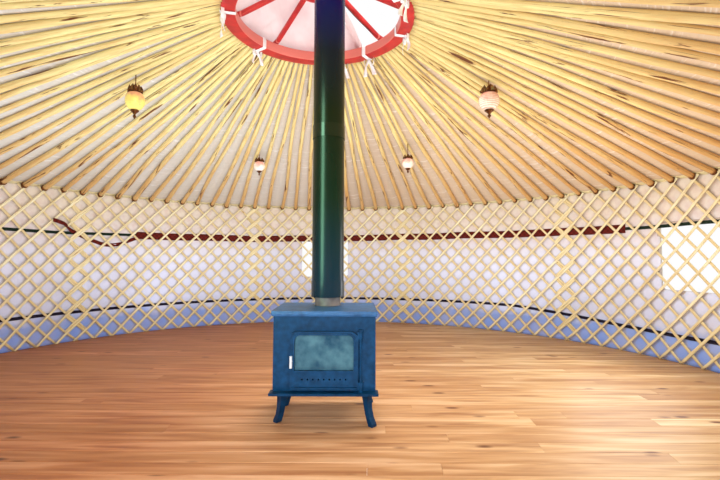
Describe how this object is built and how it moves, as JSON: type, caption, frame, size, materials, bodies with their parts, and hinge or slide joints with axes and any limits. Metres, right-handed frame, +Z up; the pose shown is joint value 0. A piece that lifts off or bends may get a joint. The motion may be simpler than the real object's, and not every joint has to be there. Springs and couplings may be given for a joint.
{
  "type": "yurt",
  "caption": "Round lattice-walled yurt on a boarded deck, with a crowned pole roof, cloth covers, a wood burner whose door swings, its flue and hanging lanterns.",
  "frame": {"origin": "middle of the yurt, under its floor bearers", "axes": "+Z up, -Y towards the entrance, +X to the right as seen from the entrance"},
  "size_m": [7.0894, 7.0894, 4.258],
  "materials": {
    "deck_pine": "satin",
    "bearer_timber": "matt",
    "frame_timber": "satin",
    "door_boards": "satin",
    "lattice_rods": "matt",
    "roof_pole_wood": "matt",
    "crown_paint": "satin",
    "woven_band": "matt",
    "dark_band": "matt",
    "lining_cloth": "matt",
    "outer_canvas": "matt",
    "cover_cloth": "matt",
    "clear_sheet": "gloss",
    "stove_iron": "satin",
    "stove_window": "gloss",
    "bright_steel": "satin",
    "flue_enamel": "gloss",
    "spigot_iron": "matt",
    "weather_collar": "matt",
    "lantern_brass": "aged",
    "amber_glass": "gloss"
  },
  "bodies": {
    "yurt": {"bearers": "bearer_timber", "floor_deck": "deck_pine", "door_posts": "frame_timber", "door_lintel": "frame_timber", "door_sill": "frame_timber", "door_leaf": "door_boards", "lattice_1": "lattice_rods", "lattice_2": "lattice_rods", "lattice_3": "lattice_rods", "lattice_4": "lattice_rods", "lattice_5": "lattice_rods", "lattice_6": "lattice_rods", "lattice_7": "lattice_rods", "lattice_8": "lattice_rods", "lattice_9": "lattice_rods", "upper_band": "woven_band", "lower_band": "dark_band", "wall_lining": "lining_cloth", "wall_canvas": "outer_canvas", "window_panes": "clear_sheet", "roof_poles_1": "roof_pole_wood", "roof_poles_2": "roof_pole_wood", "roof_poles_3": "roof_pole_wood", "roof_poles_4": "roof_pole_wood", "roof_poles_5": "roof_pole_wood", "roof_poles_6": "roof_pole_wood", "roof_poles_7": "roof_pole_wood", "roof_poles_8": "roof_pole_wood", "crown_hoop": "crown_paint", "crown_spokes": "crown_paint", "crown_hub": "crown_paint", "roof_lining": "lining_cloth", "roof_canvas": "outer_canvas", "crown_cover": "cover_cloth", "stove_body": "stove_iron", "stove_top": "stove_iron", "stove_legs": "stove_iron", "flue_spigot": "spigot_iron", "flue_pipe": "flue_enamel", "flue_collars": "flue_enamel", "flue_flashing": "weather_collar", "flue_cowl": "flue_enamel", "lantern_metal": "lantern_brass", "lantern_glass": "amber_glass"},
    "stove_door": {"stove_door": "stove_iron", "stove_glass": "stove_window", "stove_handle": "bright_steel"}
  },
  "joints": [
    {"name": "stove_door_hinge", "type": "hinge", "parent": "yurt", "child": "stove_door", "pos_m": [0.324, -0.776, 0.509], "axis": [0, 0, 1], "range_deg": [0, 95]}
  ]
}
